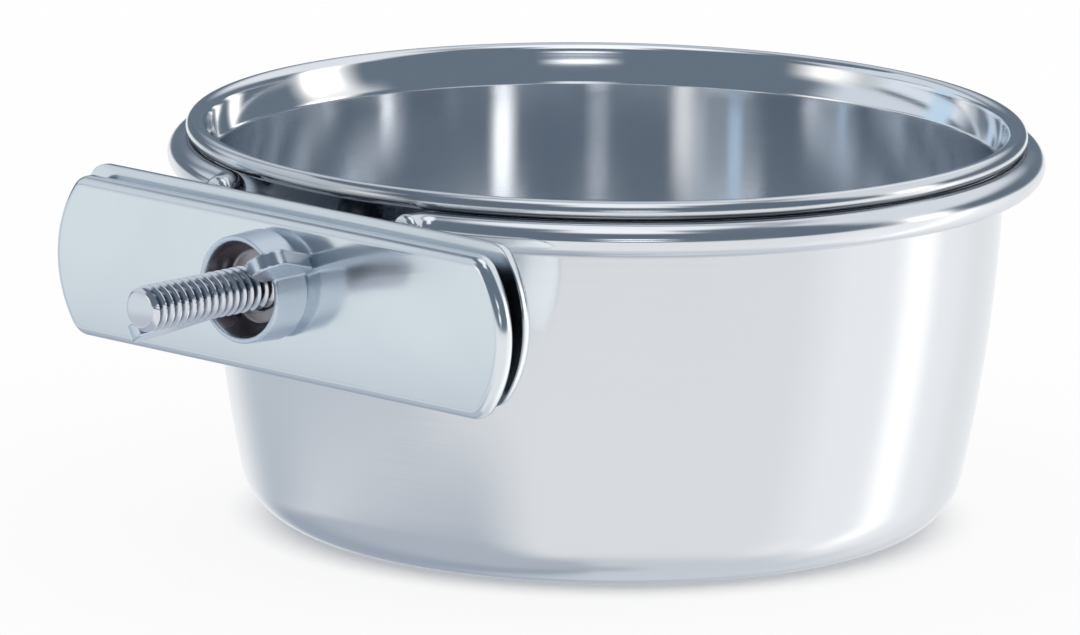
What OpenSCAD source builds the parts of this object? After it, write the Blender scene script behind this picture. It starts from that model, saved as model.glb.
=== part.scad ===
// Clamp-on stainless seed cup: a drawn cup hangs by its rolled rim in a wire ring.
// The ring is welded to the rear jaw plate. A bolt, a front jaw plate and a wing nut
// pinch the cage bars. The origin is the middle of the cup's base, on the surface that
// it stands on, +Z is up and the clamp reaches out along -Y.

/* [Cup] */
// Diameter over the rolled rim
rim_d = 89; // [80:0.5:110]
// Overall height of the cup
cup_h = 42.7; // [36:0.1:60]
// Thickness of the rolled bead at the rim
bead_d = 2.1; // [1.8:0.05:2.8]
// Thickness of the drawn sheet
sheet_t = 0.6; // [0.4:0.05:0.8]
// Reach of the rolled rim outside the wall, which is measured just under the lip
rim_reach = 2.4; // [2:0.1:3.5]
// Height of the flared lip, from the ridge inside the cup to the middle of the bead
lip_h = 3; // [2.2:0.1:5]
// Depth of the hollow in the flared lip
lip_hollow = 0.12; // [0:0.02:0.3]
// Lean of the wall under the lip, in degrees from upright
lean_top = 1.2; // [0:0.1:4]
// Lean of the wall where it meets the bottom corner, in degrees
lean_foot = 12; // [8:0.5:20]
// Outside radius of the bottom corner
corner_r = 6.8; // [4:0.1:12]

/* [Ring] */
// Diameter of the ring's wire
wire_d = 3.75; // [3:0.05:4.5]
// Room between the cup's wall and the inside of the ring
ring_clear = 0.55; // [0.3:0.05:1]
// Gap between the bead and the wire that it rests on
seat_gap = 0.06; // [0.02:0.01:0.2]
// Radius of the bend that turns each end of the wire out to the plate
bend_r = 3; // [2.4:0.1:6]
// Growth of the wire's radius where it is bent, and again at its welded end
bend_swell = 0.02; // [0.01:0.01:0.05]
// Height of the weld bead around each end of the wire
weld_h = 0.9; // [0.4:0.1:1.5]
// Width of that weld bead around the wire
weld_w = 0.7; // [0.3:0.1:1.2]
// Thickness of the weld bead where it runs out on the wire
weld_toe = 0.15; // [0.05:0.05:0.25]

/* [Jaw plates] */
// Length of both plates
plate_l = 64.2; // [50:0.1:80]
// Height of both plates
plate_h = 17; // [14:0.1:20]
// Thickness of both plates
plate_t = 1.7; // [1.2:0.1:3]
// Corner radius of both plates
plate_corner_r = 5.4; // [3:0.1:6.8]
// Radius of the coined edge on each plate's outer face
plate_edge_r = 1.1; // [0.4:0.1:1.1]
// Room between the rolled rim and the back of the rear plate
plate_clear = 1; // [0.6:0.1:3]
// Depth of the rear plate's top edge below the top of the cup
plate_drop = 2.5; // [1.8:0.1:5]
// Distance that the loose front plate hangs lower than the rear plate
front_sag = 0.9; // [0:0.1:1.5]
// Gap between the plates as shown
jaw_gap = 1.5; // [0.5:0.1:6]

/* [Bolt] */
// Outside diameter of the bolt's thread
bolt_d = 4.8; // [4:0.1:6]
// Length of the bolt, from the back of the rear plate to its tip
bolt_l = 24.4; // [20:0.1:40]
// Height of the bolt above the middle of the rear plate
bolt_rise = 0.6; // [0:0.1:1.5]
// Diameter of the bolt's low head
head_d = 9.4; // [8:0.1:12]
// Height of the bolt's low head
head_h = 1.5; // [1:0.1:1.8]
// Length of the chamfer at the bolt's tip
tip_chamfer = 0.7; // [0.3:0.1:1]
// Room around the bolt in the front plate and in the nut
bolt_clear = 0.06; // [0.03:0.01:0.1]

/* [Wing nut] */
// Diameter of the nut's foot where it bears on the plate
foot_d = 9.4; // [8:0.1:10.5]
// Height of the foot's slope, up to the widest part of the hub
foot_h = 1; // [0.5:0.1:1.6]
// Diameter of the nut's hub where it is widest
hub_d = 11.6; // [10.6:0.1:14]
// Diameter of the hub at its outer end
hub_top_d = 11.2; // [10.8:0.1:12.4]
// Height of the hub
hub_h = 5.2; // [4.6:0.1:8]
// Diameter of the hollow in the hub's end
dish_d = 10.2; // [8:0.1:10.4]
// Diameter of the hollow at its floor
dish_floor_d = 7.8; // [6.4:0.1:8]
// Depth of that hollow
dish_h = 1.5; // [1:0.1:3.5]
// Distance over the two wings
wing_span = 23.4; // [20:0.1:30]
// Height of the wings above the plate
wing_h = 11.7; // [9:0.1:15]
// Thickness of a wing
wing_t = 1.7; // [1.2:0.1:2.4]
// Radius of a wing's round tip
wing_tip_r = 2; // [1.5:0.1:2.6]
// Radius of a wing's root against the hub
wing_root_r = 2.5; // [1.8:0.1:2.6]
// Turn of the nut as shown, in degrees
nut_turn = 29; // [0:1:180]

/* [Hidden] */
// Overrun of every cut past the face that it breaks
cut = 1;
// Steps in a quarter turn of the cup's outline
arc_steps = 8;

// Cup outline
bead_r = bead_d / 2;
bead_c = rim_d / 2 - bead_r;
bead_z = cup_h - bead_r;
throat_r = rim_d / 2 - rim_reach;
ridge_z = bead_z - lip_h;
foot_z = corner_r * (1 - sin(lean_foot));
wall_arc_r = (ridge_z - foot_z) / (sin(lean_foot) - sin(lean_top));
foot_r = throat_r - wall_arc_r * (cos(lean_top) - cos(lean_foot));
corner_c = foot_r - corner_r * cos(lean_foot);

// Ring: the bead lies on the wire, and the wire clears the wall
wire_r = wire_d / 2;
ring_r = throat_r + ring_clear + wire_r;
seat_span = bead_r + wire_r + seat_gap;
ring_z = bead_z - sqrt(pow(seat_span, 2) - pow(ring_r - bead_c, 2));

// Plates, by their distance from the cup's axis
rear_back = rim_d / 2 + plate_clear;
rear_face = rear_back + plate_t;
front_back = rear_face + jaw_gap;
plate_z = cup_h - plate_drop - plate_h / 2;
front_z = plate_z - front_sag;
bolt_z = plate_z + bolt_rise;
bolt_r = bolt_d / 2;

// The wire's ends bend out to run square into the rear plate
end_turn = acos((rear_back - weld_h) / (ring_r + bend_r));
leg_x = (ring_r + bend_r) * sin(end_turn) - bend_r;
leg_r = wire_r + 2 * bend_swell;
bend_y = (ring_r + bend_r) * cos(end_turn);
// Length by which the wire's bends and ends run into each other
wire_lap = 0.1;

// Points along an arc from angle a0 to angle a1
function arc(cx, cy, r, a0, a1, steps) =
    [for (i = [0:steps]) let(a = a0 + (a1 - a0) * i / steps) [cx + r * cos(a), cy + r * sin(a)]];

// Points along a hollow between two points, with the ends left out
function hollow(p, q, depth, steps) =
    let(d = q - p, n = [-d[1], d[0]] / norm(d))
    [for (i = [1:steps - 1]) let(s = i / steps) p + d * s + n * depth * 4 * s * (1 - s)];

// Angle at which a line from point p touches a circle around c
function touch(p, c, r, side) =
    atan2(p[1] - c[1], p[0] - c[0]) + side * acos(r / norm(p - c));

module cup() {
    bead = [bead_c, bead_z];
    in_ridge = [throat_r - sheet_t * cos(lean_top), ridge_z];
    out_ridge = [throat_r, ridge_z];
    in_touch = touch(in_ridge, bead, bead_r, -1) + 360;
    bead_in_r = bead_r - sheet_t;
    out_touch = touch(out_ridge, bead, bead_in_r, -1) + 360;
    wall_c = throat_r - wall_arc_r * cos(lean_top);
    wall_cz = ridge_z + wall_arc_r * sin(lean_top);
    in_arc_r = wall_arc_r - sheet_t;
    in_corner_r = corner_r - sheet_t;
    in_point = bead + bead_r * [cos(in_touch), sin(in_touch)];
    // The curl runs over the top of the bead and back in under it
    curl_end = -in_touch;
    outline = concat(
        arc(bead_c, bead_z, bead_r, in_touch, curl_end, 3 * arc_steps),
        arc(bead_c, bead_z, bead_in_r, curl_end, out_touch, 2 * arc_steps),
        arc(wall_c, wall_cz, wall_arc_r, -lean_top, -lean_foot, arc_steps),
        arc(corner_c, corner_r, corner_r, -lean_foot, -90, arc_steps),
        [[0, 0], [0, sheet_t]],
        arc(corner_c, corner_r, in_corner_r, -90, -lean_foot, arc_steps),
        arc(wall_c, wall_cz, in_arc_r, -lean_foot, -lean_top, arc_steps),
        hollow(in_ridge, in_point, lip_hollow, arc_steps)
    );
    color("gainsboro") rotate_extrude($fn = 180) polygon(outline);
}

// The ring is open at the clamp, where both ends of its wire turn out to the rear plate
module ring_wire() {
    color("silver") translate([0, 0, ring_z]) {
        rotate([0, 0, end_turn - 90])
            rotate_extrude(angle = 360 - 2 * end_turn, $fn = 180)
            translate([ring_r, 0])
            circle(wire_r, $fn = 48);
        for (side = [0, 1]) mirror([side, 0, 0]) wire_end();
    }
}

// The bend laps into the ring and the straight end laps into the bend
module wire_end() {
    swing = 90 - end_turn;
    lap_turn = wire_lap / bend_r * 180 / PI;
    translate([leg_x + bend_r, -bend_y, 0])
        rotate([0, 0, 180 - swing - lap_turn])
        rotate_extrude(angle = swing + lap_turn, $fn = 72)
        translate([bend_r, 0])
        circle(wire_r + bend_swell, $fn = 48);
    translate([leg_x, -rear_back, 0])
        rotate([-90, 0, 0])
        cylinder(r = leg_r, h = rear_back - bend_y + wire_lap, $fn = 48);
}

// A weld bead runs round each wire end, and stops at the plate's own outline
module ring_weld_left() {
    color("darkgray") ring_weld(-leg_x);
}

module ring_weld_right() {
    color("darkgray") ring_weld(leg_x);
}

module ring_weld(x) {
    intersection() {
        translate([x, -rear_back, ring_z])
            rotate([-90, 0, 0])
            difference() {
                cylinder(r1 = leg_r + weld_w, r2 = leg_r + weld_toe, h = weld_h, $fn = 48);
                translate([0, 0, -cut]) cylinder(r = leg_r, h = weld_h + 2 * cut, $fn = 48);
            }
        translate([-plate_l / 2, -rear_back - cut, plate_z - plate_h / 2])
            cube([plate_l, weld_h + 2 * cut, plate_h - plate_edge_r / 2]);
    }
}

// Rounded rectangle, flat on the floor
module plate_outline(l, h, r) {
    for (x = [r - l / 2, l / 2 - r], y = [r - h / 2, h / 2 - r]) translate([x, y]) circle(r, $fn = 96);
    square([l - 2 * r, h], center = true);
    square([l, h - 2 * r], center = true);
}

// Quarter round, with its square corner at the middle
module edge_section() {
    intersection() {
        circle(plate_edge_r, $fn = 64);
        square(plate_edge_r);
    }
}

// A stamped plate lying on its flat inner face, with its coined edge up
module stamped_plate() {
    inner_l = plate_l - 2 * plate_edge_r;
    inner_h = plate_h - 2 * plate_edge_r;
    inner_r = plate_corner_r - plate_edge_r;
    shoulder = plate_t - plate_edge_r;
    linear_extrude(plate_t) plate_outline(inner_l, inner_h, inner_r);
    linear_extrude(shoulder) plate_outline(plate_l, plate_h, plate_corner_r);
    translate([0, 0, shoulder]) {
        for (side = [0, 1]) mirror([side, 0, 0])
            translate([inner_l / 2, 0, 0])
            rotate([90, 0, 0])
            linear_extrude(inner_h - 2 * inner_r, center = true) edge_section();
        for (side = [0, 1]) mirror([0, side, 0])
            translate([0, inner_h / 2, 0])
            rotate([90, 0, 90])
            linear_extrude(inner_l - 2 * inner_r, center = true) edge_section();
        for (a = [0, 1], b = [0, 1]) mirror([a, 0, 0]) mirror([0, b, 0])
            translate([inner_l / 2 - inner_r, inner_h / 2 - inner_r, 0])
            rotate_extrude(angle = 90, $fn = 96) translate([inner_r, 0]) edge_section();
    }
}

// The rear plate's smooth side faces the cup
module rear_plate() {
    color("lightsteelblue") difference() {
        translate([0, -rear_face, plate_z]) rotate([-90, 0, 0]) stamped_plate();
        translate([0, -rear_face - cut, bolt_z])
            rotate([-90, 0, 0])
            cylinder(r = bolt_r, h = plate_t + 2 * cut, $fn = 64);
    }
}

// The front plate's smooth side faces out
module front_plate() {
    color("lightsteelblue") difference() {
        translate([0, -front_back, front_z]) rotate([90, 0, 0]) stamped_plate();
        translate([0, -front_back - plate_t - cut, bolt_z])
            rotate([-90, 0, 0])
            cylinder(r = bolt_r + bolt_clear, h = plate_t + 2 * cut, $fn = 64);
    }
}

// The low head bears on the back of the rear plate
module clamp_bolt() {
    color("silver") translate([0, -rear_back, bolt_z]) {
        rotate([-90, 0, 0]) cylinder(r = head_d / 2, h = head_h, $fn = 64);
        rotate([90, 0, 0]) {
            cylinder(r = bolt_r, h = bolt_l - tip_chamfer, $fn = 64);
            translate([0, 0, bolt_l - tip_chamfer])
                cylinder(r1 = bolt_r, r2 = bolt_r - tip_chamfer, h = tip_chamfer, $fn = 64);
        }
    }
}

// One wing, standing on the plate: a straight blade between its round root and tip
module wing_outline() {
    root = [wing_root_r * 2, wing_root_r];
    tip = [wing_span / 2 - wing_tip_r, wing_h - wing_tip_r];
    along = atan2(tip[1] - root[1], tip[0] - root[0]);
    open = acos((wing_root_r - wing_tip_r) / norm(tip - root));
    near = [cos(along + open), sin(along + open)];
    far = [cos(along - open), sin(along - open)];
    translate(root) circle(wing_root_r, $fn = 64);
    translate(tip) circle(wing_tip_r, $fn = 64);
    polygon([root + wing_root_r * near, tip + wing_tip_r * near,
        tip + wing_tip_r * far, root + wing_root_r * far]);
}

// The nut's foot bears on the front plate, its hub is hollow and its wings flare outwards
module wing_nut() {
    color("silver") translate([0, -front_back - plate_t, bolt_z])
        rotate([90, 0, 0])
        rotate([0, 0, nut_turn])
        difference() {
            union() {
                rotate_extrude($fn = 96) polygon([[0, 0], [foot_d / 2, 0], [hub_d / 2, foot_h],
                    [hub_top_d / 2, hub_h], [0, hub_h]]);
                for (side = [0, 1]) mirror([side, 0, 0])
                    rotate([90, 0, 0])
                    linear_extrude(wing_t, center = true) wing_outline();
            }
            translate([0, 0, hub_h - dish_h])
                cylinder(r1 = dish_floor_d / 2, r2 = dish_d / 2, h = dish_h, $fn = 96);
            translate([0, 0, hub_h]) cylinder(r = dish_d / 2, h = wing_h, $fn = 96);
            translate([0, 0, -cut]) cylinder(r = bolt_r + bolt_clear, h = hub_h + 2 * cut, $fn = 64);
        }
}

cup();
ring_wire();
ring_weld_left();
ring_weld_right();
rear_plate();
clamp_bolt();
front_plate();
wing_nut();
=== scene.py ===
import math
import bmesh
import bpy
from mathutils import Matrix, Vector


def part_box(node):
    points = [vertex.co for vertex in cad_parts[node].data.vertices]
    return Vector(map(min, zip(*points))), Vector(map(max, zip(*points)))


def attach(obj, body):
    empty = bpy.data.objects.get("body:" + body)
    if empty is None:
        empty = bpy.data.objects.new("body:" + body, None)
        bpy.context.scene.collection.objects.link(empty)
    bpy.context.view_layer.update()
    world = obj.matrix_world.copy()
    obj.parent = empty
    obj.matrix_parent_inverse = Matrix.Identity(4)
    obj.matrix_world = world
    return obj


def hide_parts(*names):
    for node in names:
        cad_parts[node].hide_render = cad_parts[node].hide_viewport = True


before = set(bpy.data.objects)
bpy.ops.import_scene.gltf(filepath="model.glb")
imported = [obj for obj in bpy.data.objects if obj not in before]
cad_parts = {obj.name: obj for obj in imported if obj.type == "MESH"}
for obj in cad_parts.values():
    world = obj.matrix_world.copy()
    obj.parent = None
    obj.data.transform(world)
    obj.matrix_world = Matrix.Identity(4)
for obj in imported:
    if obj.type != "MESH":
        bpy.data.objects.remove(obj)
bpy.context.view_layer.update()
print("frame loaded with nodes", sorted(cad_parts))

# Pieces are modelled in millimetres and brought down to metres when they are finished
mm = 0.001
tiny = 0.0004    # points nearer than this are one point
overrun = 1.0    # how far a cutting shape reaches past what it cuts


def nodeBox(node):
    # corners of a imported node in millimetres
    low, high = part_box(node)
    return low / mm, high / mm


def selectOnly(obj):
    bpy.ops.object.select_all(action="DESELECT")
    obj.select_set(True)
    bpy.context.view_layer.objects.active = obj


def startPoint(name, point):
    # a plane drawn together into one point, ready to be extruded into an outline
    bpy.ops.object.select_all(action="DESELECT")
    bpy.ops.mesh.primitive_plane_add()
    obj = bpy.context.object
    obj.name = name
    obj.data.name = name
    bpy.ops.object.mode_set(mode="EDIT")
    bpy.ops.mesh.select_mode(type="VERT")
    bpy.ops.mesh.select_all(action="SELECT")
    bpy.ops.mesh.merge(type="CENTER")
    bpy.ops.transform.translate(value=point)
    return obj


def drawOn(points, start):
    # extrudes the selected point through the others
    here = Vector(start)
    for point in points:
        step = Vector(point) - here
        if step.length > tiny:
            bpy.ops.mesh.extrude_region_move(TRANSFORM_OT_translate={"value": step})
            here = Vector(point)


def latheOutline(name, outline, steps):
    # outline is (radius, height) pairs, spun all round the upright axis
    points = [(r, 0, z) for r, z in outline]
    obj = startPoint(name, points[0])
    drawOn(points[1:], points[0])
    bpy.ops.mesh.select_all(action="SELECT")
    bpy.ops.mesh.spin(steps=steps, angle=math.tau, center=(0, 0, 0), axis=(0, 0, 1))
    closeUp()
    bpy.ops.object.mode_set(mode="OBJECT")
    return obj


def closeUp():
    bpy.ops.mesh.select_all(action="SELECT")
    bpy.ops.mesh.remove_doubles(threshold=tiny)
    bpy.ops.mesh.normals_make_consistent(inside=False)


def pickEdges(obj, test):
    # selects the edges whose two ends pass the test, in edit mode
    bpy.ops.mesh.select_mode(type="EDGE")
    bpy.ops.mesh.select_all(action="DESELECT")
    mesh = bmesh.from_edit_mesh(obj.data)
    for edge in mesh.edges:
        edge.select = test(edge.verts[0].co, edge.verts[1].co)
    mesh.select_flush_mode()
    bmesh.update_edit_mesh(obj.data)


def applyModifier(obj, kind, **settings):
    selectOnly(obj)
    modifier = obj.modifiers.new(kind.title(), kind)
    for key, value in settings.items():
        setattr(modifier, key, value)
    bpy.ops.object.modifier_apply(modifier=modifier.name)


def combine(obj, other, operation):
    # joins, cuts or trims one closed shape with another, which is then removed
    applyModifier(obj, "BOOLEAN", object=other, operation=operation, solver="EXACT")
    bpy.data.objects.remove(other)


def layAlongBolt(obj, outward):
    # turns a shape that stands on the floor so that it points out of the cup, or into it
    obj.rotation_euler = (math.pi / 2 if outward else -math.pi / 2, 0, 0)
    selectOnly(obj)
    bpy.ops.object.transform_apply(location=False, rotation=True, scale=False)


def finishPiece(obj, body, nodes, material, place=(0, 0, 0), crease=30):
    obj.location = place
    selectOnly(obj)
    bpy.ops.object.transform_apply(location=True, rotation=True, scale=False)
    obj.scale = (mm, mm, mm)
    bpy.ops.object.transform_apply(location=False, rotation=False, scale=True)
    bpy.ops.object.shade_smooth_by_angle(angle=math.radians(crease))
    obj.data.materials.clear()
    obj.data.materials.append(material)
    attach(obj, body)
    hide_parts(*nodes)
    print("finished", obj.name, "with", len(obj.data.polygons), "faces")


def arcPoints(cx, cz, radius, startDeg, endDeg, steps):
    turn = (endDeg - startDeg) / steps
    angles = [math.radians(startDeg + turn * i) for i in range(steps + 1)]
    return [(cx + radius * math.cos(a), cz + radius * math.sin(a)) for a in angles]


# Materials
noiseSpan = (0.3, 0.7)    # values that noise mostly lies between
far = 1.0                 # metres, past every part of the object
below = -1.0              # millimetres, under every part of the object


def shaderFor(name, color, roughness, metallic=1.0):
    material = bpy.data.materials.new(name)
    material.use_nodes = True
    tree = material.node_tree
    shader = tree.nodes["Principled BSDF"]
    shader.inputs["Base Color"].default_value = (*color, 1)
    shader.inputs["Metallic"].default_value = metallic
    shader.inputs["Roughness"].default_value = roughness
    return material, tree, shader


def addNode(tree, kind, inputs=None, **settings):
    node = tree.nodes.new(kind)
    for key, value in settings.items():
        setattr(node, key, value)
    for key, value in (inputs or {}).items():
        if isinstance(value, bpy.types.NodeSocket):
            tree.links.new(value, node.inputs[key])
        else:
            node.inputs[key].default_value = value
    return node


def maths(tree, operation, a, b=0.0):
    return addNode(tree, "ShaderNodeMath", {0: a, 1: b}, operation=operation).outputs[0]


def textureCoords(tree):
    return addNode(tree, "ShaderNodeTexCoord").outputs


def splitAxes(tree, vector):
    return addNode(tree, "ShaderNodeSeparateXYZ", {0: vector}).outputs


def lengthOf(tree, a, b):
    squares = maths(tree, "ADD", maths(tree, "MULTIPLY", a, a), maths(tree, "MULTIPLY", b, b))
    return maths(tree, "SQRT", squares)


def noise(tree, coords, scale, detail):
    inputs = {"Vector": coords, "Scale": scale, "Detail": detail}
    return addNode(tree, "ShaderNodeTexNoise", inputs).outputs["Fac"]


def bump(tree, height, depth, under=None):
    # under holds the normal of a coarser relief that this one lies on
    inputs = {"Height": height, "Strength": 1.0, "Distance": depth, **(under or {})}
    return addNode(tree, "ShaderNodeBump", inputs).outputs[0]


def mapRange(tree, value, before, after, kind="LINEAR"):
    # takes values between the first pair to values between the second, and no further
    inputs = {"Value": value, "From Min": before[0], "From Max": before[1]}
    inputs.update({"To Min": after[0], "To Max": after[1]})
    return addNode(tree, "ShaderNodeMapRange", inputs, interpolation_type=kind).outputs[0]


def between(tree, value, low, high, soft):
    # 1 between the two values and 0 outside them, with soft edges
    rise = mapRange(tree, value, (low - soft, low + soft), (0.0, 1.0), "SMOOTHSTEP")
    fall = mapRange(tree, value, (high - soft, high + soft), (1.0, 0.0), "SMOOTHSTEP")
    return maths(tree, "MULTIPLY", rise, fall)


def paintOver(tree, under, amount, color):
    return addNode(tree, "ShaderNodeMix", {0: amount, 6: under, 7: (*color, 1)}, data_type="RGBA").outputs[2]


# The cup's brush lines run round it, so its noise is stretched round the axis
cupFinish = {
    "color": (0.74, 0.755, 0.78),
    "roughness": (0.10, 0.19),
    "insideColor": (0.85, 0.865, 0.885),     # the inside is polished brighter and smoother
    "insideRoughness": 0.55,                 # share of the outside's
    "insideLevel": 0.012,                    # metres, where the inside faces straight towards the axis
    "insideLean": 0.8,                       # how fast it turns up above that height, and down below it
    "linesPerMetre": 5200, "roundScale": 2.2, "brushDetail": 3.0,
    "brushShare": 0.55,                      # share of the brush lines in the roughness, against clouds
    "cloudScale": 60.0, "cloudDetail": 2.0,
    "axisRoom": 0.0005,                      # metres round the axis in which the lines run out
    "lineDepth": 0.0000018,
    "anisotropy": 0.8,
    "anisotropyTurn": 0.25,                  # highlights stretch across the brush lines
    # where the painted shade lies, in metres: height of the ridge, lean of the lip over it, radius of the
    # outside and its softness
    "ridge": 0.03865, "flare": 0.35, "outside": (0.0418, 0.00012),
    # heights and softness of the seam and of the neck, half width of the neck and where its front starts
    "seam": (0.0405, 0.0414, 0.0002), "neck": (0.0345, 0.0415, 0.0015),
    "neckWide": (0.0128, 0.0012), "neckFront": (-0.03, 0.001),
    "seamShare": 0.7,
    # colour of the painted shade in the seam and the neck
    "paintedShade": (0.10, 0.115, 0.135),
}


def makeCupSteel():
    material, tree, shader = shaderFor("cupSteel", cupFinish["color"], cupFinish["roughness"][1])
    source = textureCoords(tree)
    coords = source["Object"]
    x, y, z = splitAxes(tree, coords)
    radius = lengthOf(tree, x, y)
    lines = maths(tree, "MULTIPLY", maths(tree, "ADD", z, radius), cupFinish["linesPerMetre"])
    safe = maths(tree, "MAXIMUM", radius, cupFinish["axisRoom"])
    roundX = maths(tree, "MULTIPLY", maths(tree, "DIVIDE", x, safe), cupFinish["roundScale"])
    roundY = maths(tree, "MULTIPLY", maths(tree, "DIVIDE", y, safe), cupFinish["roundScale"])
    stretched = addNode(tree, "ShaderNodeCombineXYZ", {0: roundX, 1: roundY, 2: lines}).outputs[0]
    brush = noise(tree, stretched, 1.0, cupFinish["brushDetail"])
    cloud = noise(tree, coords, cupFinish["cloudScale"], cupFinish["cloudDetail"])
    brushed = maths(tree, "MULTIPLY", brush, cupFinish["brushShare"])
    clouded = maths(tree, "MULTIPLY", cloud, 1 - cupFinish["brushShare"])
    mixed = maths(tree, "ADD", brushed, clouded)
    rough = mapRange(tree, mixed, noiseSpan, cupFinish["roughness"])
    # the side that faces the axis, with the top of the bead but without the floor
    over = maths(tree, "SUBTRACT", z, cupFinish["insideLevel"])
    lean = maths(tree, "MULTIPLY", over, -cupFinish["insideLean"])
    outward = addNode(tree, "ShaderNodeCombineXYZ", {0: x, 1: y, 2: lean}).outputs[0]
    facing = addNode(tree, "ShaderNodeVectorMath", {0: outward, 1: source["Normal"]}, operation="DOT_PRODUCT")
    inside = maths(tree, "LESS_THAN", facing.outputs["Value"], 0.0)
    less = maths(tree, "MULTIPLY", inside, 1 - cupFinish["insideRoughness"])
    rough = maths(tree, "MULTIPLY", rough, maths(tree, "SUBTRACT", 1.0, less))
    tree.links.new(rough, shader.inputs["Roughness"])
    # painted shade: the seam under the bead and the wall between the wire's ends are painted dark, where
    # little light gets in
    above = maths(tree, "MAXIMUM", maths(tree, "SUBTRACT", z, cupFinish["ridge"]), 0.0)
    straight = maths(tree, "SUBTRACT", radius, maths(tree, "MULTIPLY", above, cupFinish["flare"]))
    start, soft = cupFinish["outside"]
    outer = between(tree, straight, start, far, soft)
    seam = maths(tree, "MULTIPLY", between(tree, z, *cupFinish["seam"]), cupFinish["seamShare"])
    wide, wideSoft = cupFinish["neckWide"]
    across = between(tree, x, -wide, wide, wideSoft)
    front = between(tree, y, -far, *cupFinish["neckFront"])
    upright = between(tree, z, *cupFinish["neck"])
    neck = maths(tree, "MULTIPLY", maths(tree, "MULTIPLY", across, front), upright)
    dark = maths(tree, "MULTIPLY", outer, maths(tree, "MAXIMUM", seam, neck))
    steel = paintOver(tree, (*cupFinish["color"], 1), inside, cupFinish["insideColor"])
    tree.links.new(paintOver(tree, steel, dark, cupFinish["paintedShade"]), shader.inputs["Base Color"])
    shader.inputs["Anisotropic"].default_value = cupFinish["anisotropy"]
    shader.inputs["Anisotropic Rotation"].default_value = cupFinish["anisotropyTurn"]
    tangent = addNode(tree, "ShaderNodeTangent", direction_type="RADIAL", axis="Z").outputs[0]
    tree.links.new(tangent, shader.inputs["Tangent"])
    tree.links.new(bump(tree, brush, cupFinish["lineDepth"]), shader.inputs["Normal"])
    return material


# Plated pieces: low roughness that varies a little, over faint waves left by rolling and stamping
plated = {
    "cloudScale": 90.0, "cloudDetail": 3.0,
    "swing": (0.6, 1.5),           # shares of the roughness that it varies between
    "waveDetail": 1.0,
    "grainScale": 2600.0, "grainDetail": 4.0,
}

# colour, roughness, and in metres the depth and size of the waves and the depth of the grain
platings = {
    "wirePlating": ((0.76, 0.78, 0.81), 0.13, 0.000004, 0.004, 0.0),
    "platePlating": ((0.78, 0.82, 0.85), 0.15, 0.000012, 0.012, 0.0),
    "boltPlating": ((0.74, 0.75, 0.80), 0.12, 0.000003, 0.002, 0.0000008),
    "nutPlating": ((0.64, 0.71, 0.79), 0.28, 0.00001, 0.003, 0.000001),
    "weldSteel": ((0.62, 0.64, 0.67), 0.3, 0.00001, 0.0012, 0.000003),
}


def makePlated(name):
    color, roughness, waveDepth, waveSize, grain = platings[name]
    material, tree, shader = shaderFor(name, color, roughness)
    coords = textureCoords(tree)["Object"]
    cloud = noise(tree, coords, plated["cloudScale"], plated["cloudDetail"])
    swing = [roughness * share for share in plated["swing"]]
    tree.links.new(mapRange(tree, cloud, noiseSpan, swing), shader.inputs["Roughness"])
    relief = bump(tree, noise(tree, coords, 1 / waveSize, plated["waveDetail"]), waveDepth)
    if grain:
        fine = noise(tree, coords, plated["grainScale"], plated["grainDetail"])
        relief = bump(tree, fine, grain, {"Normal": relief})
    tree.links.new(relief, shader.inputs["Normal"])
    return material


def darken(material, places, color, axisHeight=0.0):
    # paints where each place lies between two values in millimetres, with a soft edge
    # "out" is the distance from the bolt's axis
    tree = material.node_tree
    shader = tree.nodes["Principled BSDF"]
    x, y, z = splitAxes(tree, textureCoords(tree)["Object"])
    out = lengthOf(tree, x, maths(tree, "SUBTRACT", z, axisHeight))
    values = {"y": y, "z": z, "out": out}
    amount = 1.0
    for name, (low, high, soft) in places.items():
        amount = maths(tree, "MULTIPLY", between(tree, values[name], low * mm, high * mm, soft * mm), amount)
    painted = paintOver(tree, shader.inputs["Base Color"].default_value[:], amount, color)
    tree.links.new(painted, shader.inputs["Base Color"])


cupSteel = makeCupSteel()
wirePlating, platePlating, boltPlating, nutPlating, weldSteel = [makePlated(name) for name in platings]
print("finishes made")

# Cup: one drawn shell with a flared lip, rolled over into a hollow bead
cup = {
    "sheet": 0.6,         # thickness of the sheet
    "bead": 2.1,          # thickness of the rolled bead
    "rimReach": 2.4,      # reach of the bead outside the wall
    "lipHeight": 3.0,     # from the ridge to the middle of the bead
    "lipHollow": 0.12,
    "leanTop": 1.2,       # lean of the wall at the top and at the foot, in degrees
    "leanFoot": 12.0,
    "corner": 6.8,        # outer radius between the wall and the base
    "ridgeRound": 0.45,   # softening of the ridge outside, and share of it inside
    "ridgeInShare": 0.6,
    "flatShare": 0.5,     # where the base and the floor have a ring of points, and the base one near its edge
    "flatEdge": 0.3,
    "cornerSteps": 14, "wallSteps": 22, "ridgeSteps": 4, "curlSteps": 18, "beadSteps": 30, "lipSteps": 9,
    "spinSteps": 180,
}


def touchAngle(point, centre, radius):
    # angle at which a line from the point touches the circle, on its far side
    dx, dz = point[0] - centre[0], point[1] - centre[1]
    return math.degrees(math.atan2(dz, dx) - math.acos(radius / math.hypot(dx, dz))) + 360


def softCorner(before, corner, after, reach, steps):
    # a short curve that takes the place of a corner between two neighbours
    a, b, c = Vector(before), Vector(corner), Vector(after)
    p = b + (a - b).normalized() * reach
    q = b + (c - b).normalized() * reach
    shares = [i / steps for i in range(steps + 1)]
    return [tuple(p * (1 - t) ** 2 + b * 2 * t * (1 - t) + q * t ** 2) for t in shares]


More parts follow.
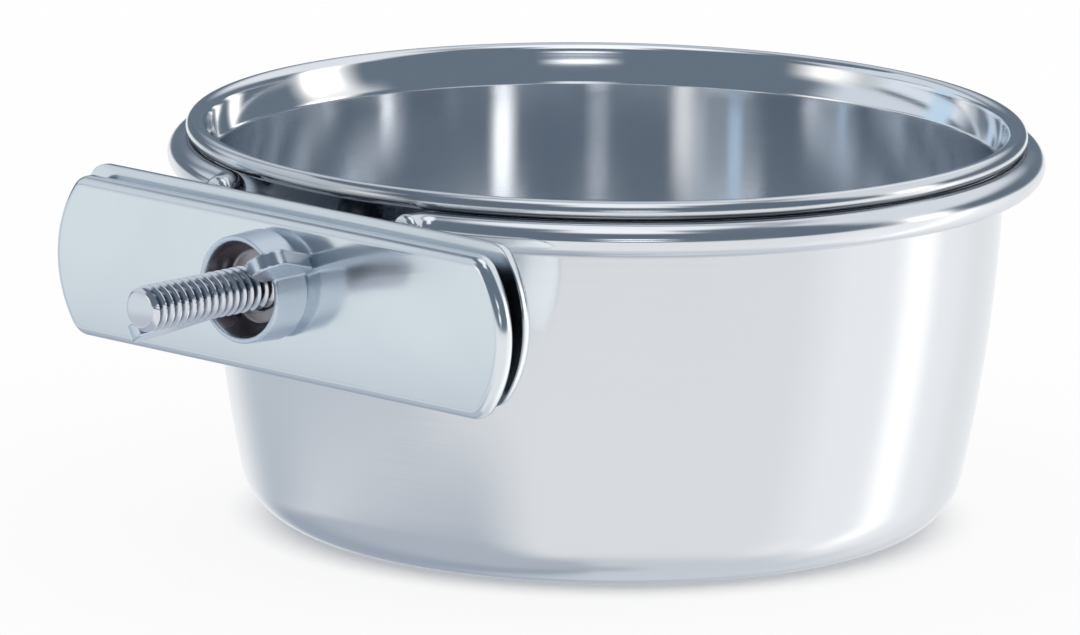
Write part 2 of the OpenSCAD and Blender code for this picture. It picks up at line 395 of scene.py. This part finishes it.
def makeCup():
    high = nodeBox("cup")[1]
    rimRadius, height = high.x, high.z
    sheet, beadR = cup["sheet"], cup["bead"] / 2
    beadC, beadZ = rimRadius - beadR, height - beadR
    throat = rimRadius - cup["rimReach"]
    ridge = beadZ - cup["lipHeight"]
    top, foot = math.radians(cup["leanTop"]), math.radians(cup["leanFoot"])
    corner = cup["corner"]
    footZ = corner * (1 - math.sin(foot))
    wallR = (ridge - footZ) / (math.sin(foot) - math.sin(top))
    footR = throat - wallR * (math.cos(top) - math.cos(foot))
    cornerC = footR - corner * math.cos(foot)
    wallC, wallZ = throat - wallR * math.cos(top), ridge + wallR * math.sin(top)
    inRidge = (throat - sheet * math.cos(top), ridge)
    outRidge = (throat, ridge)
    inTouch = touchAngle(inRidge, (beadC, beadZ), beadR)
    innerBead = beadR - sheet
    outTouch = touchAngle(outRidge, (beadC, beadZ), innerBead)
    curlEnd = -inTouch
    inPoint = arcPoints(beadC, beadZ, beadR, inTouch, inTouch, 1)[0]
    outPoint = arcPoints(beadC, beadZ, innerBead, outTouch, outTouch, 1)[0]

    base = [(0, 0), (cornerC * cup["flatShare"], 0), (cornerC - cup["flatEdge"], 0)]
    outer = arcPoints(cornerC, corner, corner, -90, -cup["leanFoot"], cup["cornerSteps"])
    outer += arcPoints(wallC, wallZ, wallR, -cup["leanFoot"], -cup["leanTop"], cup["wallSteps"])[1:-1]
    outer += softCorner(outer[-1], outRidge, outPoint, cup["ridgeRound"], cup["ridgeSteps"])
    curl = arcPoints(beadC, beadZ, innerBead, outTouch, curlEnd, cup["curlSteps"])
    edge = arcPoints(beadC, beadZ, beadR, curlEnd, inTouch, cup["beadSteps"])
    lip = []
    dx, dz = inRidge[0] - inPoint[0], inRidge[1] - inPoint[1]
    span = math.hypot(dx, dz)
    for i in range(1, cup["lipSteps"]):
        s = i / cup["lipSteps"]
        hollow = cup["lipHollow"] * 4 * s * (1 - s)
        lip.append((inPoint[0] + dx * s - dz / span * hollow, inPoint[1] + dz * s + dx / span * hollow))
    inner = arcPoints(wallC, wallZ, wallR - sheet, -cup["leanTop"], -cup["leanFoot"], cup["wallSteps"])[1:]
    insideRound = cup["ridgeRound"] * cup["ridgeInShare"]
    ridgeCurve = softCorner(lip[-1], inRidge, inner[0], insideRound, cup["ridgeSteps"])
    inner += arcPoints(cornerC, corner, corner - sheet, -cup["leanFoot"], -90, cup["cornerSteps"])[1:]
    floor = [(cornerC * cup["flatShare"], sheet), (0, sheet)]
    outline = base + outer + curl + edge + lip + ridgeCurve + inner + floor
    obj = latheOutline("cup_shell", outline, cup["spinSteps"])
    finishPiece(obj, "cup", ["cup"], cupSteel, crease=50)


makeCup()

# Ring: one wire, bent round the cup and out to the rear plate at both ends
ring = {
    "wire": 3.75,
    "bend": 3.0,          # radius of each bend at the clamp
    "weldHeight": 0.9,    # from the rear plate to where the bend starts
    "endRound": 0.8,
    "wireSides": 32, "aroundSteps": 220, "bendSteps": 14, "endSteps": 6,
}


def ringPlan():
    low, high = nodeBox("ring_wire")
    rearBack = nodeBox("rear_plate")[1].y
    wireR = ring["wire"] / 2
    radius = high.y - wireR
    height = (low.z + high.z) / 2
    reach = radius + ring["bend"]
    turn = math.acos((-rearBack - ring["weldHeight"]) / reach)
    return {"wireR": wireR, "radius": radius, "height": height, "turn": turn, "back": rearBack,
        "legX": reach * math.sin(turn) - ring["bend"], "bendY": -reach * math.cos(turn)}


def turnWire(angle, centre, steps):
    # carries the wire's open end round a centre, anticlockwise from above; spin itself turns clockwise
    bpy.ops.mesh.spin(steps=steps, angle=-angle, center=centre, axis=(0, 0, 1), use_auto_merge=False)


def makeRing():
    plan = ringPlan()
    legX, bendY, height = plan["legX"], plan["bendY"], plan["height"]
    bpy.ops.object.select_all(action="DESELECT")
    bpy.ops.mesh.primitive_circle_add(vertices=ring["wireSides"], radius=plan["wireR"],
        location=(-legX, plan["back"], height), rotation=(math.pi / 2, 0, 0))
    obj = bpy.context.object
    obj.name = "cup_ring"
    bpy.ops.object.transform_apply(location=True, rotation=True, scale=False)
    swing = math.pi / 2 - plan["turn"]
    around = math.tau - 2 * plan["turn"]
    centreX = legX + ring["bend"]
    leg = bendY - plan["back"]
    bpy.ops.object.mode_set(mode="EDIT")
    bpy.ops.mesh.select_all(action="SELECT")
    bpy.ops.mesh.extrude_region_move(TRANSFORM_OT_translate={"value": (0, leg, 0)})
    turnWire(swing, (-centreX, bendY, height), ring["bendSteps"])
    turnWire(-around, (0, 0, height), ring["aroundSteps"])
    turnWire(swing, (centreX, bendY, height), ring["bendSteps"])
    bpy.ops.mesh.extrude_region_move(TRANSFORM_OT_translate={"value": (0, -leg, 0)})
    bpy.ops.mesh.select_all(action="SELECT")
    bpy.ops.mesh.remove_doubles(threshold=tiny)
    bpy.ops.mesh.fill_holes(sides=ring["wireSides"])
    bpy.ops.mesh.normals_make_consistent(inside=False)
    # the sheared ends are dressed round
    pickEdges(obj, lambda a, b: max(a.y, b.y) < plan["back"] + tiny)
    bpy.ops.mesh.bevel(offset=ring["endRound"], segments=ring["endSteps"], affect="EDGES",
        clamp_overlap=False)
    closeUp()
    bpy.ops.object.mode_set(mode="OBJECT")
    finishPiece(obj, "holder", ["ring_wire"], wirePlating)


makeRing()

# Weld beads round the two ends of the wire
weld = {
    "width": 0.7, "toe": 0.15,     # reach past the wire, at the plate and at the weld's end
    "height": 0.9,
    "root": 0.2,          # how far it lies inside the wire
    "ripple": 0.02, "seed": 3,
    "below": 0.35,        # from the plate's top edge down to the weld
    "steps": 48, "toeSteps": 8,
}


def makeWelds():
    plan = ringPlan()
    wireR, wide, height = plan["wireR"], weld["width"], weld["height"]
    root = wireR - weld["root"]
    cutHeight = nodeBox("rear_plate")[1].z - plan["height"] - weld["below"]
    outline = [(root, 0), (wireR + wide, 0)]
    for i in range(1, weld["toeSteps"] + 1):
        t = math.pi / 2 * i / weld["toeSteps"]
        outline.append((wireR + wide + (weld["toe"] - wide) * math.sin(t), height * (1 - math.cos(t))))
    outline += [(root, height), (root, 0)]
    for side, node in ((-1, "ring_weld_left"), (1, "ring_weld_right")):
        obj = latheOutline(node.replace("ring_", "") + "_bead", outline, weld["steps"])
        bpy.ops.object.mode_set(mode="EDIT")
        bpy.ops.mesh.select_all(action="SELECT")
        bpy.ops.transform.vertex_random(offset=weld["ripple"], seed=weld["seed"] + side)
        bpy.ops.object.mode_set(mode="OBJECT")
        applyModifier(obj, "SUBSURF", levels=1, render_levels=1)
        layAlongBolt(obj, outward=False)
        # there is no weld above the plate's top edge
        bpy.ops.object.mode_set(mode="EDIT")
        bpy.ops.mesh.select_all(action="SELECT")
        bpy.ops.mesh.bisect(plane_co=(0, 0, cutHeight), plane_no=(0, 0, 1), use_fill=True, clear_outer=True)
        bpy.ops.object.mode_set(mode="OBJECT")
        place = (side * plan["legX"], plan["back"], plan["height"])
        finishPiece(obj, "holder", [node], weldSteel, place, crease=60)


makeWelds()

# Jaw plates: stampings with bowed ends, small round corners and a coined outer edge
plate = {
    "bow": 12.5,          # radius of the bowed ends
    "corner": 2.6,
    "coin": 1.1,
    "inside": 0.15,       # softening of the other edge
    "hole": 4.86,
    "bowSteps": 30, "cornerSteps": 14, "coinSteps": 8, "insideSteps": 3, "holeSteps": 64,
    # dark paint in the gap between the plates: reach over their faces, start under their top edge, softness
    "gapOver": 0.2, "gapUnder": 1.4, "gapSoft": (0.12, 0.7), "gapColor": (0.36, 0.39, 0.42),
}


def plateOutline(length, height):
    # upper right quarter first, then mirrored round
    bow, corner = plate["bow"], plate["corner"]
    bowX = length / 2 - bow
    lift = height / 2 - corner
    turn = math.degrees(math.asin(lift / (bow - corner)))
    cornerX = bowX + lift / math.tan(math.radians(turn))
    quarter = arcPoints(bowX, 0, bow, 0, turn, plate["bowSteps"] // 2)
    quarter += arcPoints(cornerX, lift, corner, turn, 90, plate["cornerSteps"])[1:]
    left = [(-x, y) for x, y in quarter[::-1]]
    top = quarter + left
    return top + [(x, -y) for x, y in top[-2:0:-1]]


def makePlate(name, node, body, outward):
    low, high = nodeBox(node)
    size = high - low
    thick = size.y
    boltLow, boltHigh = nodeBox("clamp_bolt")
    middle = (low.z + high.z) / 2
    rise = (boltLow.z + boltHigh.z) / 2 - middle
    points = [(x, y, 0) for x, y in plateOutline(size.x, size.z)]
    obj = startPoint(name, points[0])
    drawOn(points[1:] + points[:1], points[0])
    bpy.ops.mesh.select_all(action="SELECT")
    bpy.ops.mesh.remove_doubles(threshold=tiny)
    bpy.ops.mesh.edge_face_add()
    bpy.ops.mesh.extrude_region_move(TRANSFORM_OT_translate={"value": (0, 0, thick)})
    closeUp()
    pickEdges(obj, lambda a, b: min(a.z, b.z) > thick - tiny)
    bpy.ops.mesh.bevel(offset=plate["coin"], segments=plate["coinSteps"], affect="EDGES", clamp_overlap=False)
    pickEdges(obj, lambda a, b: max(a.z, b.z) < tiny)
    bpy.ops.mesh.bevel(offset=plate["inside"], segments=plate["insideSteps"], affect="EDGES",
        clamp_overlap=False)
    closeUp()
    bpy.ops.object.mode_set(mode="OBJECT")
    holeR, deep = plate["hole"] / 2, thick + overrun
    profile = [(0, -overrun), (holeR, -overrun), (holeR, deep), (0, deep)]
    hole = latheOutline("hole", profile, plate["holeSteps"])
    hole.location = (0, rise if outward else -rise, 0)
    combine(obj, hole, "DIFFERENCE")
    layAlongBolt(obj, outward)
    place = (0, high.y if outward else low.y, middle)
    finishPiece(obj, body, [node], platePlating, place, crease=25)


def shadeGap():
    # little light gets in between the plates
    front, rear = nodeBox("front_plate")[1], nodeBox("rear_plate")[0]
    acrossSoft, upSoft = plate["gapSoft"]
    darken(platePlating, {"y": (front.y - plate["gapOver"], rear.y + plate["gapOver"], acrossSoft),
        "z": (below, front.z - plate["gapUnder"], upSoft)}, plate["gapColor"])


shadeGap()
makePlate("rear_jaw", "rear_plate", "holder", outward=False)
makePlate("front_jaw", "front_plate", "front_jaw", outward=True)

# Bolt: a rolled thread on a fixed bolt whose low head bears on the rear plate
bolt = {
    "thread": 4.8,        # outside diameter of the thread
    "pitch": 25.4 / 24,
    "root": 3.66,         # diameter at the bottom of the thread
    "crestFlat": 0.12,    # flat on the crest and in the root, as shares of the pitch
    "rootFlat": 0.2,
    "head": 9.4,
    "headHeight": 1.5,
    "headEdge": 0.15,     # softening of the edge that bears on the plate
    "headOverlap": 0.3,   # length of the thread inside the head
    "shoulder": 0.8,
    "chamfer": 0.7,
    # width and depth of the tip's soft edge, and depth of its dome
    "tipRound": 0.25, "tipDrop": 0.08, "tipDome": 0.02,
    "spareTurns": 4,      # turns that are cut off again, half of them at each end
    "turnSteps": 40, "roundSteps": 64, "shoulderSteps": 8,
    # painted shade in the bottom of the thread: inside which radius, how far it ends before the plate,
    # softness along and out
    "shadeRadius": 2.08, "shadeEnd": 2, "shadeSoft": (0.15, 0.14), "shadeColor": (0.26, 0.29, 0.33),
}


def makeBolt():
    low, high = nodeBox("clamp_bolt")
    rearBack = nodeBox("rear_plate")[1].y
    length = rearBack - low.y
    crest, root, pitch = bolt["thread"] / 2, bolt["root"] / 2, bolt["pitch"]
    flankStart = pitch * bolt["rootFlat"]
    crestStart = pitch * (0.5 + bolt["rootFlat"] / 2 - bolt["crestFlat"] / 2)
    crestEnd = crestStart + pitch * bolt["crestFlat"]
    outline = [(root, 0, 0), (root, 0, flankStart), (crest, 0, crestStart), (crest, 0, crestEnd),
        (root, 0, pitch)]
    shank = startPoint("clamp_screw", outline[0])
    drawOn(outline[1:], outline[0])
    bpy.ops.object.mode_set(mode="OBJECT")
    turns = math.ceil(length / pitch) + bolt["spareTurns"]
    applyModifier(shank, "SCREW", screw_offset=pitch, angle=math.tau, steps=bolt["turnSteps"],
        render_steps=bolt["turnSteps"], iterations=turns, use_merge_vertices=True, merge_threshold=0.001)
    shank.location = (0, 0, -bolt["spareTurns"] / 2 * pitch)
    selectOnly(shank)
    bpy.ops.object.transform_apply(location=True, rotation=False, scale=False)
    bpy.ops.object.mode_set(mode="EDIT")
    closeUp()
    for height, direction in ((length, 1), (-bolt["headOverlap"], -1)):
        bpy.ops.mesh.select_all(action="SELECT")
        bpy.ops.mesh.bisect(plane_co=(0, 0, height), plane_no=(0, 0, direction), use_fill=True,
            clear_outer=True)
    closeUp()
    bpy.ops.object.mode_set(mode="OBJECT")
    # the tip is trimmed to a chamfer with a softly domed end
    reach, tipR = crest + overrun, crest - bolt["chamfer"]
    profile = [(0, -overrun), (reach, -overrun), (reach, length - bolt["chamfer"] - overrun),
        (tipR + bolt["tipRound"], length - bolt["tipDrop"]), (tipR, length - bolt["tipDome"]), (0, length)]
    combine(shank, latheOutline("tip_trim", profile, bolt["roundSteps"]), "INTERSECT")
    # low head with a rounded shoulder, on the side of the cup
    headR, edge, shoulder = bolt["head"] / 2, bolt["headEdge"], bolt["shoulder"]
    flat = -bolt["headHeight"]
    profile = [(0, 0), (headR - edge, 0), (headR, -edge)]
    profile += arcPoints(headR - shoulder, flat + shoulder, shoulder, 0, -90, bolt["shoulderSteps"])
    profile += [(0, flat)]
    combine(shank, latheOutline("bolt_head", profile, bolt["roundSteps"]), "UNION")
    layAlongBolt(shank, outward=True)
    # the bottom of the thread is painted dark, as painted shade
    middle = (low.z + high.z) / 2
    alongSoft, outSoft = bolt["shadeSoft"]
    darken(boltPlating, {"y": (low.y + bolt["chamfer"], rearBack - bolt["shadeEnd"], alongSoft),
        "out": (below, bolt["shadeRadius"], outSoft)}, bolt["shadeColor"], middle * mm)
    place = (0, rearBack, middle)
    finishPiece(shank, "holder", ["clamp_bolt"], boltPlating, place, crease=35)


makeBolt()

# Wing nut: a cast hub with a dished end and two flared wings
nut = {
    "foot": 9.4, "footHeight": 1.0, "hub": 11.6, "hubTop": 11.2, "hubHeight": 5.2,
    "dish": 10.2, "dishFloor": 7.8, "dishDepth": 3.0,
    "span": 23.4, "wingHeight": 11.7, "wingThick": 1.7, "tip": 2.0, "root": 2.5,
    "turn": 29,           # degrees
    "bore": 4.9,
    "voxel": 0.13, "smoothing": 5, "smoothFactor": 0.5,
    "roundSteps": 96, "wingSteps": 16,
    "cutReach": 9,        # from the hub's end to the top of the shape that cuts the dish
    # painted shade in the hollow: how far past its mouth, its floor and its edge, and softness along and out
    "paintedShade": (0.4, 0.6, 0.05), "shadeSoft": (0.3, 0.08), "shadeColor": (0.33, 0.31, 0.325),
}


def makeNut():
    base = nodeBox("front_plate")[0].y
    boltLow, boltHigh = nodeBox("clamp_bolt")
    height = (boltLow.z + boltHigh.z) / 2
    hubR, topR, hubH = nut["hub"] / 2, nut["hubTop"] / 2, nut["hubHeight"]
    dishR, dishH = nut["dish"] / 2, nut["dishDepth"]
    footR, floorR, boreR = nut["foot"] / 2, nut["dishFloor"] / 2, nut["bore"] / 2
    hub = latheOutline("jaw_wing_nut", [(boreR, 0), (footR, 0), (hubR, nut["footHeight"]), (topR, hubH),
        (dishR, hubH), (floorR, hubH - dishH), (boreR, hubH - dishH), (boreR, 0)], nut["roundSteps"])
    # a wing's outline is round at the tip and at the root, with straight sides between them
    tipR, rootR, steps = nut["tip"], nut["root"], nut["wingSteps"]
    root = Vector((rootR * 2, 0, rootR))
    tip = Vector((nut["span"] / 2 - tipR, 0, nut["wingHeight"] - tipR))
    along = math.degrees(math.atan2(tip.z - root.z, tip.x - root.x))
    spread = math.degrees(math.acos((rootR - tipR) / (tip - root).length))
    outline = arcPoints(tip.x, tip.z, tipR, along - spread, along + spread, steps)
    outline += arcPoints(root.x, root.z, rootR, along + spread, along + 360 - spread, steps)
    outline.append(outline[0])
    for side in (1, -1):
        points = [(x * side, -nut["wingThick"] / 2, z) for x, z in outline]
        wing = startPoint("wing", points[0])
        drawOn(points[1:], points[0])
        bpy.ops.mesh.select_all(action="SELECT")
        bpy.ops.mesh.remove_doubles(threshold=tiny)
        bpy.ops.mesh.edge_face_add()
        bpy.ops.mesh.extrude_region_move(TRANSFORM_OT_translate={"value": (0, nut["wingThick"], 0)})
        closeUp()
        bpy.ops.object.mode_set(mode="OBJECT")
        if side == 1:
            wings = wing
        else:
            combine(wings, wing, "UNION")
    # the wings stop at the dish, and the bolt's bore stays open
    top = hubH + nut["cutReach"]
    dish = latheOutline("dish_cut", [(0, -overrun), (boreR, -overrun), (boreR, hubH - dishH),
        (floorR, hubH - dishH), (dishR, hubH), (dishR, top), (0, top)], nut["roundSteps"])
    combine(hub, wings, "UNION")
    combine(hub, dish, "DIFFERENCE")
    applyModifier(hub, "REMESH", mode="VOXEL", voxel_size=nut["voxel"], use_smooth_shade=True)
    applyModifier(hub, "SMOOTH", factor=nut["smoothFactor"], iterations=nut["smoothing"])
    hub.rotation_euler = (0, 0, math.radians(nut["turn"]))
    selectOnly(hub)
    bpy.ops.object.transform_apply(location=False, rotation=True, scale=False)
    layAlongBolt(hub, outward=True)
    # the hollow is painted dark, as painted shade
    mouth = base - hubH
    pastMouth, pastFloor, pastEdge = nut["paintedShade"]
    alongSoft, outSoft = nut["shadeSoft"]
    darken(nutPlating, {"y": (mouth + pastMouth, mouth + dishH + pastFloor, alongSoft),
        "out": (below, dishR + pastEdge, outSoft)}, nut["shadeColor"], height * mm)
    finishPiece(hub, "nut", ["wing_nut"], nutPlating, (0, base, height), crease=80)


makeNut()
print("pieces made")

# Camera: long lens, as fitted to the photograph, in its 1080 by 635 picture
view = {
    "picture": (1080, 635),
    "azimuth": 42.4, "elevation": 11.15, "roll": 0.94,   # degrees
    "distance": 1.246,                                   # metres, to the middle of the rim
    "focal": 11790,                                      # pixels
    "sensor": 36,                                        # millimetres
    "clip": (0.05, 50),                                  # metres
    "rimAt": (606.8, 128.9),                             # pixel where the middle of the rim lies
    "rimHeight": 0.04165,
}


def towards(azimuth, elevation):
    # unit vector out of the cup: azimuth turns from -Y towards +X
    a, e = math.radians(azimuth), math.radians(elevation)
    return Vector((math.cos(e) * math.sin(a), -math.cos(e) * math.cos(a), math.sin(e)))


def makeCamera():
    width, height = view["picture"]
    data = bpy.data.cameras.new("camera")
    data.sensor_fit = "HORIZONTAL"
    data.sensor_width = view["sensor"]
    data.lens = view["focal"] / width * data.sensor_width
    data.clip_start, data.clip_end = view["clip"]
    camera = bpy.data.objects.new("camera", data)
    bpy.context.scene.collection.objects.link(camera)
    outward = towards(view["azimuth"], view["elevation"])
    right = Vector((0, 0, 1)).cross(outward).normalized()
    up = outward.cross(right)
    level = Matrix((right, up, outward)).transposed()
    rolled = level @ Matrix.Rotation(math.radians(view["roll"]), 3, "Z")
    # turned so that the middle of the rim falls on its pixel
    spot = Vector((view["rimAt"][0] - width / 2, height / 2 - view["rimAt"][1], -view["focal"]))
    aimed = rolled @ spot.rotation_difference(Vector((0, 0, -1))).to_matrix()
    place = Vector((0, 0, view["rimHeight"])) + outward * view["distance"]
    camera.matrix_world = Matrix.Translation(place) @ aimed.to_4x4()
    bpy.context.scene.camera = camera


makeCamera()
print("camera set")

# Studio: a white floor in even light
studio = {
    "floorSize": 6.0,
    "floorColor": (0.97, 0.97, 0.97),
    "floorRoughness": 0.9,
    "floorGlow": 0.86,               # share of plain white in what the camera sees of the floor
    "glowStart": (0.032, 0.0405),    # metres from the cup's axis between which that share comes in
    "fill": 1.0,                     # light on the floor
    "roomColor": (0.145, 0.185, 0.235),
    "bounces": 16, "glossyBounces": 14,
}

# The metal mirrors a room and a floor that are lighter and darker by direction. Each part has its azimuth to
# the right of the camera, half width and softness, elevation from and to and softness, all in degrees, and
# a colour. A part lies over those before it
roomPatches = {
    "back": (180, 30, 10, 20, 64, 6, (0.55, 0.60, 0.67)),
    "skyRight": (122, 46, 8, 22, 64, 7, (0.84, 0.87, 0.91)),
    "skyLeft": (-106, 36, 8, 12.4, 46, 1.2, (0.69, 0.745, 0.81)),
    "lowLeft": (-98, 30, 8, -9, 9.3, 1.1, (0.80, 0.86, 0.93)),
    "warmTail": (-80, 7, 6, -9, 14, 4, (0.62, 0.66, 0.69)),
    "blueStreak": (-115, 6, 3, -9, 16, 5, (0.60, 0.76, 0.92)),
    "warmStreak": (-67, 8, 7, -9, 14, 4, (1.3, 1.27, 1.22)),
    "rightStrip": (92, 10, 6, -9, 24, 8, (1.2, 1.19, 1.17)),
    "rightCore": (93, 6, 4, -9, 15, 4, (2.0, 1.98, 1.95)),
    "cameraGlow": (8, 8, 6, 13.4, 18, 1.5, (1.6, 1.63, 1.68)),
    "cameraLow": (8, 8, 6, 3, 8.4, 1.2, (1.5, 1.53, 1.58)),
    "top": (0, 200, 1, 70, 100, 6, (1.05, 1.08, 1.12)),
    "topFront": (7, 24, 8, 52, 100, 6, (1.12, 1.15, 1.19)),
    "floor": (0, 200, 1, -100, -3, 2, (0.93, 0.945, 0.955)),
    "floorNear": (0, 200, 1, -100, -62, 9, (0.73, 0.76, 0.80)),
    "floorLeft": (-106, 72, 14, -100, -30, 5, (0.53, 0.58, 0.65)),
    "floorFarLeft": (-100, 46, 14, -26, -3, 4, (0.62, 0.67, 0.73)),
    "floorPlate": (-85, 22, 8, -15, -3, 3, (0.81, 0.865, 0.895)),
    "floorBackLeft": (-160, 30, 25, -100, -24, 8, (0.40, 0.45, 0.53)),
    "floorBackRight": (140, 50, 12, -100, -46, 8, (0.73, 0.77, 0.82)),
    "floorDeepLeft": (-70, 60, 20, -100, -68, 5, (0.53, 0.57, 0.64)),
    "floorRight": (100, 32, 12, -56, -3, 8, (1.06, 1.07, 1.08)),
    "floorStrip": (106, 7, 6, -48, -3, 9, (1.42, 1.41, 1.39)),
    "floorUnder": (0, 200, 1, -100, -84, 5, (0.5, 0.54, 0.6)),
}


def makeFloor():
    # white and shadowed for the camera, and open to the rays that the metal mirrors
    bpy.ops.object.select_all(action="DESELECT")
    bpy.ops.mesh.primitive_plane_add(size=studio["floorSize"])
    floor = bpy.context.object
    floor.name = "floor"
    material, tree, shader = shaderFor("floorWhite", studio["floorColor"], studio["floorRoughness"], 0.0)
    x, y, z = splitAxes(tree, textureCoords(tree)["Object"])
    away = lengthOf(tree, x, y)
    share = mapRange(tree, away, studio["glowStart"], (0.0, studio["floorGlow"]), "SMOOTHSTEP")
    path = addNode(tree, "ShaderNodeLightPath").outputs
    white = addNode(tree, "ShaderNodeEmission", {"Color": (1, 1, 1, 1), "Strength": 1.0}).outputs[0]
    glow = maths(tree, "MULTIPLY", path["Is Camera Ray"], share)
    seen = addNode(tree, "ShaderNodeMixShader", {0: glow, 1: shader.outputs[0], 2: white}).outputs[0]
    through = addNode(tree, "ShaderNodeBsdfTransparent").outputs[0]
    surface = addNode(tree, "ShaderNodeMixShader", {0: path["Is Glossy Ray"], 1: seen, 2: through}).outputs[0]
    tree.links.new(surface, tree.nodes["Material Output"].inputs["Surface"])
    floor.data.materials.append(material)


def makeWorld():
    world = bpy.data.worlds.new("studioWorld")
    bpy.context.scene.world = world
    world.use_nodes = True
    tree = world.node_tree
    x, y, z = splitAxes(tree, textureCoords(tree)["Generated"])
    # azimuth in degrees to the right of the camera
    front = maths(tree, "MULTIPLY", y, -1.0)
    turn = maths(tree, "MULTIPLY", maths(tree, "ARCTAN2", x, front), math.degrees(1))
    azimuth = maths(tree, "SUBTRACT", turn, view["azimuth"])
    elevation = maths(tree, "MULTIPLY", maths(tree, "ARCSINE", z), math.degrees(1))
    room = (*studio["roomColor"], 1)
    for middle, half, sideSoft, low, high, soft, shade in roomPatches.values():
        # how far the direction lies from the middle of the patch, either way round
        turned = {0: maths(tree, "SUBTRACT", azimuth, middle), 1: 180.0, 2: -180.0}
        turned = addNode(tree, "ShaderNodeMath", turned, operation="WRAP").outputs[0]
        apart = maths(tree, "ABSOLUTE", turned)
        beside = mapRange(tree, apart, (half - sideSoft, half + sideSoft), (1.0, 0.0), "SMOOTHSTEP")
        amount = maths(tree, "MULTIPLY", beside, between(tree, elevation, low, high, soft))
        room = paintOver(tree, room, amount, shade)
    fill = (studio["fill"],) * 3
    outside = maths(tree, "SUBTRACT", 1.0, addNode(tree, "ShaderNodeLightPath").outputs["Is Glossy Ray"])
    tree.links.new(paintOver(tree, room, outside, fill), tree.nodes["Background"].inputs["Color"])


makeFloor()
makeWorld()
scene = bpy.context.scene
scene.view_settings.view_transform = "Standard"
scene.cycles.max_bounces = studio["bounces"]
scene.cycles.glossy_bounces = studio["glossyBounces"]
print("studio made")
